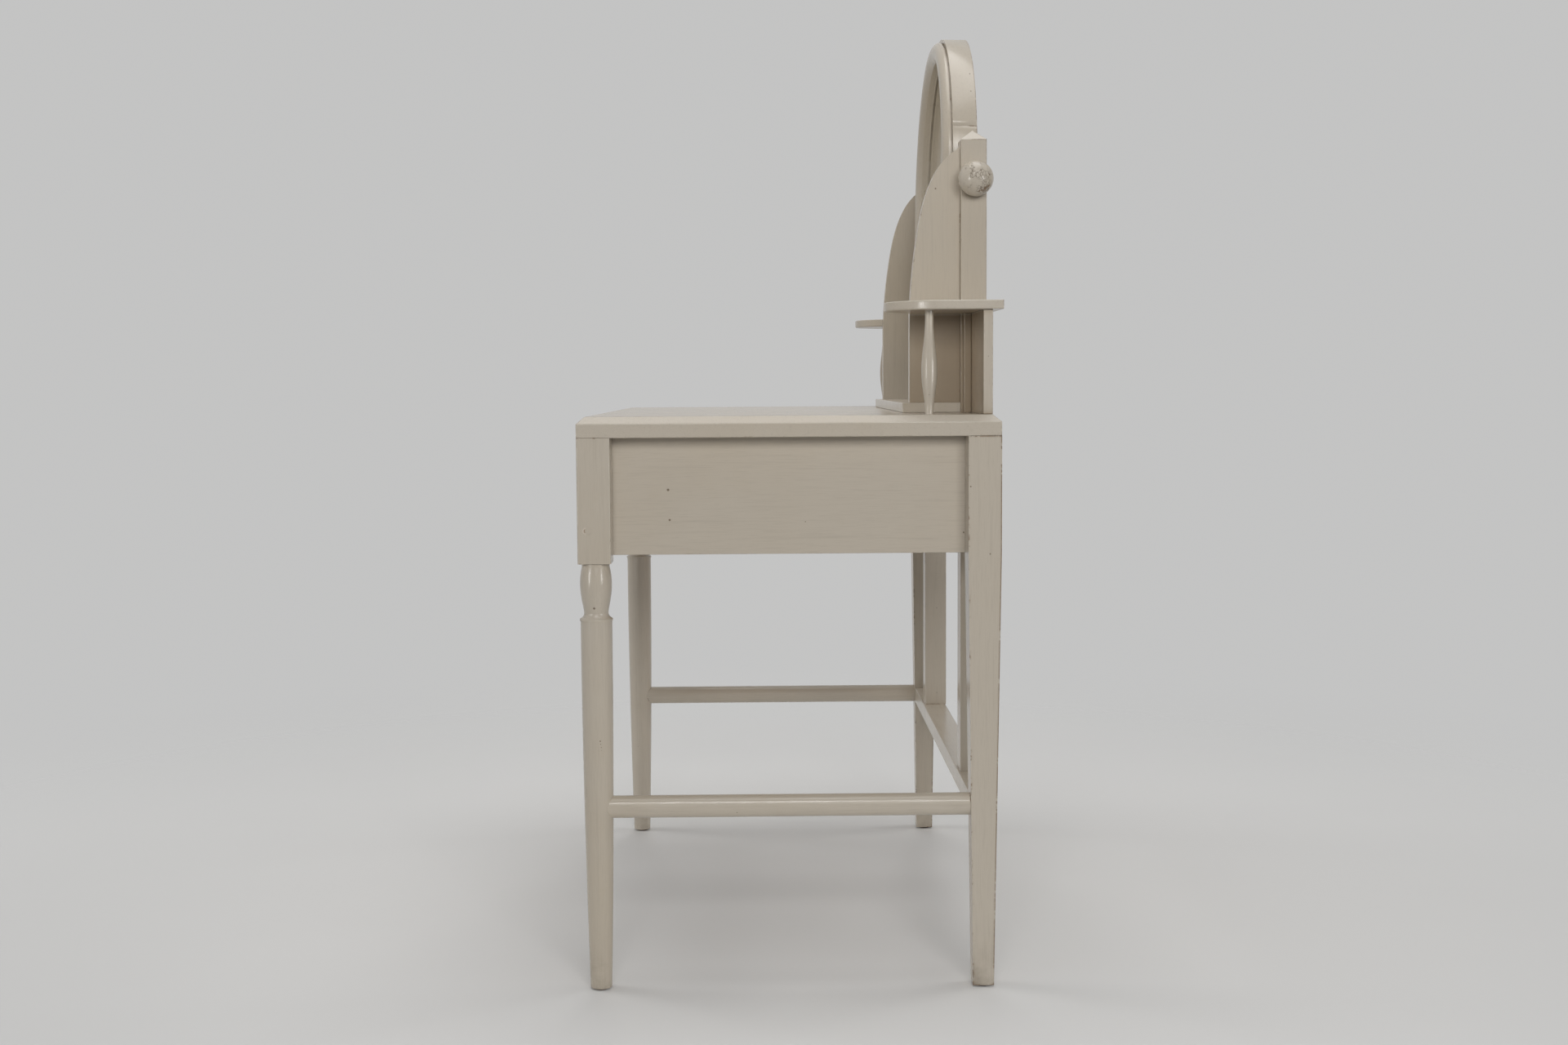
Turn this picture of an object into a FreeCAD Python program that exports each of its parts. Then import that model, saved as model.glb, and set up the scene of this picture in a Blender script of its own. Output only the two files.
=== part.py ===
# Painted wooden dressing table with end shelves, two drawers and an arched tilting mirror.
# Millimetres, +Z up, front towards -Y, origin on the floor under the middle of the whole object.
# Left and right are as seen from the front, so right is +X.
import FreeCAD, Part
import math
import os

from FreeCAD import Vector

# Table
TABLE_LENGTH = 920.0
TABLE_DEPTH = 560.0
TABLE_HEIGHT = 772.0
TOP_THICKNESS = 28.0
TOP_BEVEL_WIDTH = 11.0
TOP_BEVEL_DROP = 9.5

# Workmanship shared by all pieces
ARRIS = 1.2
GLUE_GAP = 0.06
SLIDE_GAP = 0.3
RUNNING_GAP = 0.06

# Legs and feet
LEG_WIDTH = 44.0
LEG_CORNER = 1.8
BLOCK_LENGTH = 166.0
VASE_LENGTH = 74.0
VASE_NECK_D = 37.0
VASE_BULGE_D = 42.4
VASE_WAIST_D = 32.4
COLLAR_D = 44.0
COLLAR_THICKNESS = 3.2
COLLAR_ROUND = 0.8
TAPER_TOP_D = 42.2
FRONT_FOOT_D = 29.0
LEG_SWELL = 1.6
REAR_FOOT_WIDTH = 28.3
GLIDE_D = 21.0
GLIDE_HEIGHT = 2.5

# Carcase
APRON_HEIGHT = 158.0
APRON_THICKNESS = 20.0
SIDE_APRON_SETBACK = 12.0
FRONT_TOP_RAIL_HEIGHT = 18.0
FRONT_TOP_RAIL_DEPTH = 50.0
FRONT_RAIL_HEIGHT = 24.0
FRONT_RAIL_DEPTH = 30.0
FRONT_RAIL_ABOVE_APRON = 24.0
DIVIDER_WIDTH = 22.0
RUNNER_WIDTH = 20.0
RUNNER_HEIGHT = 20.0
CENTRE_BEARER_WIDTH = 72.0
GUIDE_HEIGHT = 24.0
KICKER_WIDTH = 20.0
STOP_WIDTH = 26.0
STOP_HEIGHT = 6.0
GLUE_BLOCK_LENGTH = 70.0
GLUE_BLOCK_WIDTH = 20.0
GLUE_BLOCK_SHARES = (0.337, 0.751)
PEG_D = 9.5
PEG_LENGTH = 82.0
PEG_RECESS = 0.4

# Stretchers
SIDE_STRETCHER_D = 30.0
SIDE_STRETCHER_HEIGHT = 248.5
TENON_D = 16.0
TENON_LENGTH = 14.0
REAR_STRETCHER_TOP = 260.5
REAR_STRETCHER_THICKNESS = 25.0
REAR_STRETCHER_DEPTH = 38.0
REAR_TENON_SHOULDER = 4.0

# Mirror posts and the boards that brace them
POST_WIDTH = 38.0
POST_DEPTH = 36.0
POST_INNER_SPACING = 506.0
POST_RISE = 379.0
POST_CAP_RISE = 14.0
BOARD_THICKNESS = 19.0
BOARD_RECESS = 11.0
BOARD_DEPTH = 71.0
BOARD_HEIGHT = 356.0
# Front edge of a board: share of its depth, share of its height, from the last straight point to the post
BOARD_CURVE = ((1.0, 0.290), (0.86, 0.643), (0.613, 0.849), (0.262, 0.961), (0.0, 1.0))
BOARD_TOP_SLOPE = 32.0
PLINTH_HEIGHT = 14.0
PLINTH_DEPTH = 82.0
POST_SCREW_D = 5.0
POST_SCREW_HEAD_D = 9.0
POST_SCREW_HEAD_HEIGHT = 2.5
POST_SCREW_LENGTH = 42.0
POST_SCREW_SPACING = 95.0

# End bays
SHELF_RISE = 150.5
SHELF_THICKNESS = 12.2
SHELF_END_INSET = 9.0
SHELF_LOBE_BEFORE_POST = 27.0
SHELF_BACK_OVERHANG = 3.0
SHELF_EDGE = 2.0
PANEL_THICKNESS = 12.5
PANEL_SETBACK = 10.0
PANEL_END_INSET = 18.0
BATTEN_WIDTH = 12.0
BATTEN_DEPTH = 10.0
BALUSTER_END_INSET = 48.0
BALUSTER_BEFORE_POST = 55.5
BALUSTER_TOP_D = 11.4
BALUSTER_BELLY_D = 21.4
BALUSTER_FOOT_D = 11.2

# Mirror, given upright about its pivot and then leaned back
PIVOT_RISE = 322.5
MIRROR_LEAN = 1.0
MIRROR_WIDTH = 472.0
MIRROR_TOP = 242.0
MIRROR_BOTTOM = 241.5
FRAME_FRONT = 23.7
FRAME_THICKNESS = 34.7
FRAME_WIDTH = 33.0
FRAME_LIP = 6.0
SIGHT_GAP = 1.5
SIGHT_UNDERCUT = 2.0
REBATE_WIDTH = 8.0
CROWN_JOINT = 84.0
BEAD_INSET = 5.0
BEAD_WIDTH = 28.0
BEAD_SIDE = 5.5
BEAD_PROUD = 14.5
BEAD_QUIRK_WIDTH = 2.5
BEAD_QUIRK_DEPTH = 3.0
BEAD_JOINT = -14.0
GLASS_THICKNESS = 4.0
GLASS_CLEARANCE = 0.5
BACK_BOARD_THICKNESS = 6.0
PIN_D = 1.8
PIN_LENGTH = 15.0
PIN_HEIGHTS = (-150.0, -50.0)
PIN_SPREAD = 120.0
BUSH_D = 14.0
BUSH_LENGTH = 18.0
COLLAR_SPACER_D = 24.0
MIRROR_GAP = 0.5

# Ball knobs that clamp the mirror
BALL_D = 48.4
BALL_NECK_D = 24.0
BALL_NECK_LENGTH = 3.0
KNOB_SCREW_D = 8.0
KNOB_SCREW_GRIP = 26.0
KNOB_SCREW_REACH = 15.0

# Drawers
DRAWER_GAP = 1.0
DRAWER_FRONT_THICKNESS = 20.0
DRAWER_BACK_SPACE = 34.0
DRAWER_SIDE_THICKNESS = 12.0
DRAWER_SIDE_HEIGHT = 78.0
DRAWER_BACK_THICKNESS = 10.0
DRAWER_BACK_DROP = 8.0
DRAWER_BOTTOM_THICKNESS = 6.0
DRAWER_BOTTOM_RISE = 10.0
GROOVE_DEPTH = 5.0
DRAWER_KNOB_D = 24.0
DRAWER_KNOB_NECK_D = 13.0
DRAWER_KNOB_BASE_D = 18.0
DRAWER_KNOB_BASE = 1.5
DRAWER_KNOB_PROUD = 25.0
DRAWER_KNOB_DOWEL_D = 10.0
DRAWER_KNOB_DOWEL = 16.0

# Places that follow from the sizes above
REAR_REACH = max(BALL_D / 2 - POST_DEPTH / 2, SHELF_BACK_OVERHANG)
Y_FRONT = DRAWER_KNOB_PROUD - (DRAWER_KNOB_PROUD + TABLE_DEPTH + REAR_REACH) / 2
Y_BACK = Y_FRONT + TABLE_DEPTH
X_END = TABLE_LENGTH / 2
X_LEG_INNER = X_END - LEG_WIDTH
X_LEG = X_END - LEG_WIDTH / 2
Y_FRONT_LEG = Y_FRONT + LEG_WIDTH / 2
Y_REAR_LEG = Y_BACK - LEG_WIDTH / 2
TOP_UNDERSIDE = TABLE_HEIGHT - TOP_THICKNESS
APRON_BOTTOM = TOP_UNDERSIDE - APRON_HEIGHT
BLOCK_BOTTOM = TOP_UNDERSIDE - BLOCK_LENGTH
COLLAR_HEIGHT = BLOCK_BOTTOM - VASE_LENGTH
TAPER_TOP = COLLAR_HEIGHT - COLLAR_THICKNESS
X_APRON_INNER = X_LEG_INNER - APRON_THICKNESS
X_POST_INNER = POST_INNER_SPACING / 2
X_POST = X_POST_INNER + POST_WIDTH / 2
X_POST_OUTER = X_POST_INNER + POST_WIDTH
Y_POST_FRONT = Y_BACK - POST_DEPTH
Y_PIVOT = Y_BACK - POST_DEPTH / 2
Y_BACK_APRON = Y_POST_FRONT - APRON_THICKNESS
X_BOARD_OUTER = X_POST_OUTER - BOARD_RECESS
X_BOARD_INNER = X_BOARD_OUTER - BOARD_THICKNESS
PLINTH_TOP = TABLE_HEIGHT + PLINTH_HEIGHT
POST_TOP = TABLE_HEIGHT + POST_RISE
PIVOT_HEIGHT = TABLE_HEIGHT + PIVOT_RISE
SHELF_TOP = TABLE_HEIGHT + SHELF_RISE
SHELF_UNDERSIDE = SHELF_TOP - SHELF_THICKNESS
SHELF_REACH = X_END - SHELF_END_INSET
SHELF_LOBE_RADIUS = (SHELF_REACH - X_BOARD_OUTER) / 2
Y_SHELF_LOBE = Y_POST_FRONT - SHELF_LOBE_BEFORE_POST
PANEL_END = X_END - PANEL_END_INSET
BALUSTER_X = X_END - BALUSTER_END_INSET
FRONT_RAIL_BOTTOM = APRON_BOTTOM + FRONT_RAIL_ABOVE_APRON
RUNNER_TOP = FRONT_RAIL_BOTTOM + FRONT_RAIL_HEIGHT
FRONT_TOP_RAIL_BOTTOM = TOP_UNDERSIDE - FRONT_TOP_RAIL_HEIGHT
Y_RAIL_BACK = Y_FRONT + FRONT_RAIL_DEPTH
DRAWER_SIDE_BOTTOM = RUNNER_TOP + SLIDE_GAP
DRAWER_SIDE_TOP = DRAWER_SIDE_BOTTOM + DRAWER_SIDE_HEIGHT
KICKER_BOTTOM = DRAWER_SIDE_TOP + DRAWER_GAP
DRAWER_INNER = DIVIDER_WIDTH / 2 + DRAWER_GAP
DRAWER_OUTER = X_APRON_INNER - DRAWER_GAP
DRAWER_MIDDLE = (DRAWER_INNER + DRAWER_OUTER) / 2
Y_DRAWER_BOX = Y_FRONT + DRAWER_FRONT_THICKNESS
Y_DRAWER_BACK = Y_BACK_APRON - DRAWER_BACK_SPACE
DRAWER_BOTTOM_Z = DRAWER_SIDE_BOTTOM + DRAWER_BOTTOM_RISE
DRAWER_FRONT_BOTTOM = RUNNER_TOP + DRAWER_GAP
DRAWER_FRONT_TOP = FRONT_TOP_RAIL_BOTTOM - DRAWER_GAP
MIRROR_HALF = MIRROR_WIDTH / 2
ARCH_CENTRE = MIRROR_TOP - MIRROR_HALF
SIGHT_HALF = MIRROR_HALF - FRAME_WIDTH
REBATE_HALF = SIGHT_HALF + REBATE_WIDTH
UNDERCUT_HALF = SIGHT_HALF + SIGHT_UNDERCUT
FRAME_REAR = FRAME_THICKNESS - FRAME_FRONT
GLASS_FRONT = -FRAME_FRONT + FRAME_LIP
BACK_BOARD_REAR = GLASS_FRONT + GLASS_THICKNESS + BACK_BOARD_THICKNESS

UP = Vector(0, 0, 1)
ALONG_X = Vector(1, 0, 0)
ALONG_Y = Vector(0, 1, 0)
ORIGIN = Vector(0, 0, 0)

pieces = {}


def line(start, end):
    return Part.LineSegment(start, end).toShape()


def arc(start, middle, end):
    return Part.Arc(start, middle, end).toShape()


def spline(points):
    curve = Part.BSplineCurve()
    curve.interpolate(points)
    return curve.toShape()


def polygon_face(points):
    return Part.Face(Part.makePolygon(list(points) + [points[0]]))


def box(x_range, y_range, z_range):
    low = Vector(x_range[0], y_range[0], z_range[0])
    return Part.makeBox(x_range[1] - low.x, y_range[1] - low.y, z_range[1] - low.z, low)


def board(x_range, y_range, z_range):
    """A straight piece of wood with all its arrises eased."""
    blank = box(x_range, y_range, z_range)
    return blank.makeFillet(ARRIS, blank.Edges)


def rod(diameter, start, direction, length):
    return Part.makeCylinder(diameter / 2, length, start, direction)


def rounded_section(x_range, y_range, z, corner):
    """Closed outline of an upright square piece with rounded corners, at height z."""
    x0, x1 = x_range
    y0, y1 = y_range
    diagonal = corner * (1 - math.sqrt(0.5))
    edges = []
    for x, y, sx, sy in ((x0, y0, 1, 1), (x1, y0, -1, 1), (x1, y1, -1, -1), (x0, y1, 1, -1)):
        beside = Vector(x, y + sy * corner, z)
        along = Vector(x + sx * corner, y, z)
        if sx * sy < 0:
            beside, along = along, beside
        edges.append((beside, Vector(x + sx * diagonal, y + sy * diagonal, z), along))
    outline = []
    for here, following in zip(edges, edges[1:] + edges[:1]):
        outline.append(arc(*here))
        outline.append(line(here[2], following[0]))
    return Part.Wire(outline)


def square_range(centre, width):
    return centre - width / 2, centre + width / 2


def frustum(low_x, low_y, low_z, high_x, high_y, high_z):
    """Upright solid with flat sides between two rectangles."""
    wedge = Part.makeWedge(low_x[0], low_z, -low_y[1], -high_y[1], high_x[0],
                           low_x[1], high_z, -low_y[0], -high_y[0], high_x[1])
    wedge.rotate(ORIGIN, ALONG_X, 90)
    return wedge


def turned(edges):
    """Solid of revolution about Z from an outline given in the XZ plane."""
    return Part.Face(Part.Wire(edges)).revolve(ORIGIN, UP, 360)


def mirrored(shape):
    return shape.mirror(ORIGIN, ALONG_X)


def group(shapes):
    return Part.makeCompound(shapes)


def add(name, shape):
    pieces[name] = shape


def add_pair(name, right_shape):
    add(name + "_right", right_shape)
    add(name + "_left", mirrored(right_shape))


def both_sides(right_shape):
    return [right_shape, mirrored(right_shape)]


def at_radius(radius, z):
    return Vector(radius, 0, z)


# Table top, with its bevelled edge and the notches that the mirror posts pass through
def table_top():
    whole = ((-X_END, X_END), (Y_FRONT, Y_BACK))
    inset = ((-X_END + TOP_BEVEL_WIDTH, X_END - TOP_BEVEL_WIDTH),
             (Y_FRONT + TOP_BEVEL_WIDTH, Y_BACK - TOP_BEVEL_WIDTH))
    bevel_foot = TABLE_HEIGHT - TOP_BEVEL_DROP
    slab = box(*whole, (TOP_UNDERSIDE, bevel_foot))
    slab = slab.fuse(frustum(*whole, bevel_foot, *inset, TABLE_HEIGHT)).removeSplitter()
    for notch in both_sides(box((X_POST_INNER, X_POST_OUTER), (Y_POST_FRONT, Y_BACK),
                                (TOP_UNDERSIDE, TABLE_HEIGHT))):
        slab = slab.cut(notch)
    return slab


# Legs
def front_leg_radius(z):
    """Radius of a front leg's swelled taper at height z."""
    share = (z - GLIDE_HEIGHT) / (TAPER_TOP - GLIDE_HEIGHT)
    straight = FRONT_FOOT_D / 2 + share * (TAPER_TOP_D - FRONT_FOOT_D) / 2
    return straight + 4 * share * (1 - share) * LEG_SWELL


def front_leg_turning():
    """Turned lower part of a front leg about Z."""
    neck = VASE_NECK_D / 2
    bulge = VASE_BULGE_D / 2
    waist = VASE_WAIST_D / 2
    collar = COLLAR_D / 2

    def below_block(share):
        return BLOCK_BOTTOM - share * VASE_LENGTH

    neck_top = at_radius(neck, BLOCK_BOTTOM)
    neck_foot = at_radius(neck, below_block(0.07))
    waist_point = at_radius(waist, below_block(0.90))
    vase = spline([
        neck_foot,
        at_radius(neck + 0.62 * (bulge - neck), below_block(0.18)),
        at_radius(bulge, below_block(0.41)),
        at_radius(waist + 0.48 * (bulge - waist), below_block(0.71)),
        at_radius(waist + 0.11 * (bulge - waist), below_block(0.84)),
        waist_point,
    ])
    lip_inner = at_radius(collar - COLLAR_ROUND, COLLAR_HEIGHT)
    lip_outer = at_radius(collar, COLLAR_HEIGHT - COLLAR_ROUND)
    lip_foot = at_radius(collar, TAPER_TOP)
    flare_middle = at_radius(waist + 0.40 * (lip_inner.x - waist), below_block(0.97))
    taper_start = at_radius(TAPER_TOP_D / 2, TAPER_TOP)
    mid_height = (TAPER_TOP + GLIDE_HEIGHT) / 2
    mid_taper = at_radius(front_leg_radius(mid_height), mid_height)
    foot_edge = at_radius(FRONT_FOOT_D / 2, GLIDE_HEIGHT)
    return turned([
        line(at_radius(0, BLOCK_BOTTOM), neck_top),
        line(neck_top, neck_foot),
        vase,
        arc(waist_point, flare_middle, lip_inner),
        line(lip_inner, lip_outer),
        line(lip_outer, lip_foot),
        line(lip_foot, taper_start),
        arc(taper_start, mid_taper, foot_edge),
        line(foot_edge, at_radius(0, GLIDE_HEIGHT)),
        line(at_radius(0, GLIDE_HEIGHT), at_radius(0, BLOCK_BOTTOM)),
    ])


def peg_hole():
    """The straight hole that a peg fills, from the leg's outer face into the front rail."""
    return rod(PEG_D + 2 * GLUE_GAP, peg_start(0.0), -ALONG_X, PEG_LENGTH)


def peg_start(recess):
    return Vector(X_END - recess, Y_FRONT + FRONT_RAIL_DEPTH / 2, FRONT_RAIL_BOTTOM + FRONT_RAIL_HEIGHT / 2)


def stretcher_bores():
    """Blind bores for the side stretcher's tenons, in the front leg and in the rear leg."""
    width = TENON_D + 2 * GLUE_GAP
    length = tenon_back() - tenon_front() + 2 * GLUE_GAP
    return rod(width, Vector(X_LEG, tenon_front() - GLUE_GAP, SIDE_STRETCHER_HEIGHT), ALONG_Y, length)


def front_leg():
    section = (square_range(X_LEG, LEG_WIDTH), square_range(Y_FRONT_LEG, LEG_WIDTH))
    leg = Part.Face(rounded_section(*section, BLOCK_BOTTOM, LEG_CORNER)).extrude(UP * BLOCK_LENGTH)
    turning = front_leg_turning()
    turning.translate(Vector(X_LEG, Y_FRONT_LEG, 0))
    return leg.fuse(turning).removeSplitter().cut(peg_hole()).cut(stretcher_bores())


def rear_leg_blank():
    def section(width):
        return square_range(X_LEG, width), square_range(Y_REAR_LEG, width)

    block = box(*section(LEG_WIDTH), (APRON_BOTTOM, TOP_UNDERSIDE))
    taper = frustum(*section(REAR_FOOT_WIDTH), GLIDE_HEIGHT, *section(LEG_WIDTH), APRON_BOTTOM)
    return block.fuse(taper).removeSplitter()


def rear_leg_width(z):
    share = (z - GLIDE_HEIGHT) / (APRON_BOTTOM - GLIDE_HEIGHT)
    return REAR_FOOT_WIDTH + share * (LEG_WIDTH - REAR_FOOT_WIDTH)


def foot_glides():
    glides = []
    for y in (Y_FRONT_LEG, Y_REAR_LEG):
        disc = rod(GLIDE_D, Vector(X_LEG, y, 0), UP, GLIDE_HEIGHT)
        rim = [edge for edge in disc.Edges if edge.BoundBox.ZMax < GLIDE_HEIGHT / 2]
        glides += both_sides(disc.makeChamfer(GLIDE_HEIGHT / 4, rim))
    return group(glides)


# Stretchers
def tenon_front():
    return Y_FRONT_LEG - TENON_LENGTH / 2


def tenon_back():
    return Y_REAR_LEG - rear_leg_width(SIDE_STRETCHER_HEIGHT) / 2 + TENON_LENGTH


def side_stretcher():
    middle = Vector(X_LEG, Y_FRONT_LEG, SIDE_STRETCHER_HEIGHT)
    bar = rod(SIDE_STRETCHER_D, middle, ALONG_Y, Y_REAR_LEG - Y_FRONT_LEG)
    saddle_foot = SIDE_STRETCHER_HEIGHT - SIDE_STRETCHER_D
    saddle_top = SIDE_STRETCHER_HEIGHT + SIDE_STRETCHER_D
    saddle = Part.makeCone(front_leg_radius(saddle_foot) + GLUE_GAP, front_leg_radius(saddle_top) + GLUE_GAP,
                           saddle_top - saddle_foot, Vector(X_LEG, Y_FRONT_LEG, saddle_foot), UP)
    bar = bar.cut(saddle).cut(rear_leg_blank())
    tenon_start = Vector(X_LEG, tenon_front(), SIDE_STRETCHER_HEIGHT)
    return bar.fuse(rod(TENON_D, tenon_start, ALONG_Y, tenon_back() - tenon_front())).removeSplitter()


def rear_tenon(grow=0.0):
    """Flat tenon of the rear stretcher, behind the side stretcher's round one."""
    half_leg = rear_leg_width(SIDE_STRETCHER_HEIGHT) / 2
    shoulder = REAR_TENON_SHOULDER - grow
    return box((X_LEG - half_leg - TENON_LENGTH, X_LEG - half_leg + TENON_LENGTH + grow),
               (tenon_back() + shoulder, Y_REAR_LEG + half_leg - shoulder),
               (REAR_STRETCHER_TOP - REAR_STRETCHER_THICKNESS + shoulder, REAR_STRETCHER_TOP - shoulder))


def rear_stretcher():
    across = (Y_BACK - ARRIS - REAR_STRETCHER_DEPTH, Y_BACK - ARRIS)
    bar = board((-X_LEG, X_LEG), across, (REAR_STRETCHER_TOP - REAR_STRETCHER_THICKNESS, REAR_STRETCHER_TOP))
    leg_side = frustum(square_range(X_LEG, REAR_FOOT_WIDTH), across, GLIDE_HEIGHT,
                       square_range(X_LEG, LEG_WIDTH), across, APRON_BOTTOM)
    for side in both_sides(leg_side):
        bar = bar.cut(side)
    for tenon in both_sides(rear_tenon()):
        bar = bar.fuse(tenon)
    return bar.removeSplitter()


# Carcase under the top
def side_apron():
    length = (Y_FRONT, Y_BACK - SIDE_APRON_SETBACK)
    plank = board((X_APRON_INNER, X_LEG_INNER), length, (APRON_BOTTOM, TOP_UNDERSIDE))
    return plank.cut(peg_hole())


def post_screw_places():
    middle = (APRON_BOTTOM + TOP_UNDERSIDE) / 2
    return [middle - POST_SCREW_SPACING / 2, middle + POST_SCREW_SPACING / 2]


def post_screw(z, grow=0.0):
    """Screw through the back apron into a post, its head flush with the apron's front face."""
    start = Vector(X_POST, Y_BACK_APRON, z)
    head = Part.makeCone(POST_SCREW_HEAD_D / 2 + grow, POST_SCREW_D / 2 + grow, POST_SCREW_HEAD_HEIGHT,
                         start, ALONG_Y)
    return head.fuse(rod(POST_SCREW_D + 2 * grow, start, ALONG_Y, POST_SCREW_LENGTH + grow)).removeSplitter()


def without_post_screws(shape):
    for z in post_screw_places():
        for hole in both_sides(post_screw(z, GLUE_GAP)):
            shape = shape.cut(hole)
    return shape


def back_apron():
    plank = board((-X_APRON_INNER, X_APRON_INNER), (Y_BACK_APRON, Y_POST_FRONT),
                  (APRON_BOTTOM, TOP_UNDERSIDE))
    return without_post_screws(plank)


def front_bottom_rail():
    rail = board((-X_APRON_INNER, X_APRON_INNER), (Y_FRONT, Y_RAIL_BACK), (FRONT_RAIL_BOTTOM, RUNNER_TOP))
    for hole in both_sides(peg_hole()):
        rail = rail.cut(hole)
    return rail


def drawer_runners():
    """Two side runners, the wide centre bearer and the guide that keeps the drawers apart."""
    length = (Y_RAIL_BACK, Y_BACK_APRON)
    height = (RUNNER_TOP - RUNNER_HEIGHT, RUNNER_TOP)
    runners = both_sides(board((X_APRON_INNER - RUNNER_WIDTH, X_APRON_INNER), length, height))
    runners.append(board(square_range(0, CENTRE_BEARER_WIDTH), length, height))
    runners.append(board(square_range(0, DIVIDER_WIDTH), length, (RUNNER_TOP, RUNNER_TOP + GUIDE_HEIGHT)))
    return group(runners)


def drawer_kickers():
    """Strips over the drawer sides that keep an open drawer from tipping."""
    length = (Y_FRONT + FRONT_TOP_RAIL_DEPTH, Y_BACK_APRON)
    height = (KICKER_BOTTOM, TOP_UNDERSIDE)
    kickers = both_sides(board((X_APRON_INNER - KICKER_WIDTH, X_APRON_INNER), length, height))
    kickers.append(board(square_range(0, DIVIDER_WIDTH + 2 * KICKER_WIDTH), length, height))
    return group(kickers)


def drawer_stops():
    stops = []
    for share in (0.25, 0.75):
        x = DRAWER_INNER + share * (DRAWER_OUTER - DRAWER_INNER)
        stops += both_sides(board(square_range(x, STOP_WIDTH), (Y_DRAWER_BOX + SLIDE_GAP, Y_RAIL_BACK),
                                  (RUNNER_TOP, RUNNER_TOP + STOP_HEIGHT)))
    return group(stops)


def glue_blocks():
    """Three-cornered blocks that hold the top to the back apron."""
    blocks = []
    for share in GLUE_BLOCK_SHARES:
        start = share * X_APRON_INNER - GLUE_BLOCK_LENGTH / 2
        face = polygon_face([
            Vector(start, Y_BACK_APRON, TOP_UNDERSIDE),
            Vector(start, Y_BACK_APRON - GLUE_BLOCK_WIDTH, TOP_UNDERSIDE),
            Vector(start, Y_BACK_APRON, TOP_UNDERSIDE - GLUE_BLOCK_WIDTH),
        ])
        blocks += both_sides(face.extrude(ALONG_X * GLUE_BLOCK_LENGTH))
    return group(blocks)


# Superstructure on the table top
def pivot_bore(diameter):
    start = Vector(X_POST_INNER, Y_PIVOT, PIVOT_HEIGHT)
    return rod(diameter + 2 * RUNNING_GAP, start, ALONG_X, POST_WIDTH)


def mirror_post():
    section = ((X_POST_INNER, X_POST_OUTER), (Y_POST_FRONT, Y_BACK))
    peak = POST_TOP + POST_CAP_RISE
    tip = (square_range(X_POST, ARRIS), square_range(Y_PIVOT, ARRIS))
    pointed = box(*section, (REAR_STRETCHER_TOP, POST_TOP)).fuse(frustum(*section, POST_TOP, *tip, peak))
    eased_section = Part.Face(rounded_section(*section, REAR_STRETCHER_TOP, ARRIS))
    post = eased_section.extrude(UP * (peak - REAR_STRETCHER_TOP)).common(pointed.removeSplitter())
    return without_post_screws(post.cut(pivot_bore(KNOB_SCREW_D)))


def side_board():
    """Upright brace before a post: straight at its foot, then curving back to the top of the post."""
    def place(depth_share, height_share):
        y = Y_POST_FRONT - depth_share * BOARD_DEPTH
        return Vector(X_BOARD_INNER, y, PLINTH_TOP + height_share * BOARD_HEIGHT)

    slope = math.radians(BOARD_TOP_SLOPE)
    curve = Part.BSplineCurve()
    curve.interpolate([place(*shares) for shares in BOARD_CURVE],
                      InitialTangent=UP, FinalTangent=Vector(0, math.cos(slope), math.sin(slope)))
    front_foot = place(1, 0)
    back_foot = place(0, 0)
    curve_start = place(*BOARD_CURVE[0])
    top = place(*BOARD_CURVE[-1])
    outline = Part.Wire([line(back_foot, front_foot), line(front_foot, curve_start), curve.toShape(),
                         line(top, back_foot)])
    return Part.Face(outline).extrude(ALONG_X * BOARD_THICKNESS)


def end_shelf():
    """Board with a half-round front end, notched round the post and its brace."""
    y_back = Y_BACK + SHELF_BACK_OVERHANG

    def at(x, y):
        return Vector(x, y, SHELF_UNDERSIDE)

    lobe_start = at(X_BOARD_OUTER, Y_SHELF_LOBE)
    lobe_front = at(SHELF_REACH - SHELF_LOBE_RADIUS, Y_SHELF_LOBE - SHELF_LOBE_RADIUS)
    lobe_end = at(SHELF_REACH, Y_SHELF_LOBE)
    corners = [lobe_end, at(SHELF_REACH, y_back), at(X_POST_OUTER, y_back), at(X_POST_OUTER, Y_POST_FRONT),
               at(X_BOARD_OUTER, Y_POST_FRONT), lobe_start]
    edges = [arc(lobe_start, lobe_front, lobe_end)]
    edges += [line(a, b) for a, b in zip(corners, corners[1:])]
    slab = Part.Face(Part.Wire(edges)).extrude(UP * SHELF_THICKNESS)

    def is_outer(edge):
        middle_point = edge.valueAt((edge.FirstParameter + edge.LastParameter) / 2)
        is_level = edge.BoundBox.ZLength < SHELF_THICKNESS / 2
        on_lobe = edge.Curve.TypeId == "Part::GeomCircle"
        on_side = abs(middle_point.x - SHELF_REACH) < SHELF_EDGE
        return is_level and (on_lobe or on_side)

    return slab.makeFillet(SHELF_EDGE, [edge for edge in slab.Edges if is_outer(edge)])


def baluster():
    top = BALUSTER_TOP_D / 2
    belly = BALUSTER_BELLY_D / 2
    foot = BALUSTER_FOOT_D / 2
    height = SHELF_UNDERSIDE - TABLE_HEIGHT

    def at(radius, share):
        return at_radius(radius, TABLE_HEIGHT + share * height)

    profile = spline([
        at(foot, 0),
        at(foot + 0.08 * (belly - foot), 0.08),
        at(foot + 0.6 * (belly - foot), 0.23),
        at(belly, 0.45),
        at(top + 0.42 * (belly - top), 0.68),
        at(top, 0.88),
        at(top, 1),
    ])
    post = turned([line(at(0, 0), at(foot, 0)), profile, line(at(top, 1), at(0, 1)),
                   line(at(0, 1), at(0, 0))])
    post.translate(Vector(BALUSTER_X, Y_POST_FRONT - BALUSTER_BEFORE_POST, 0))
    return post


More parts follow.
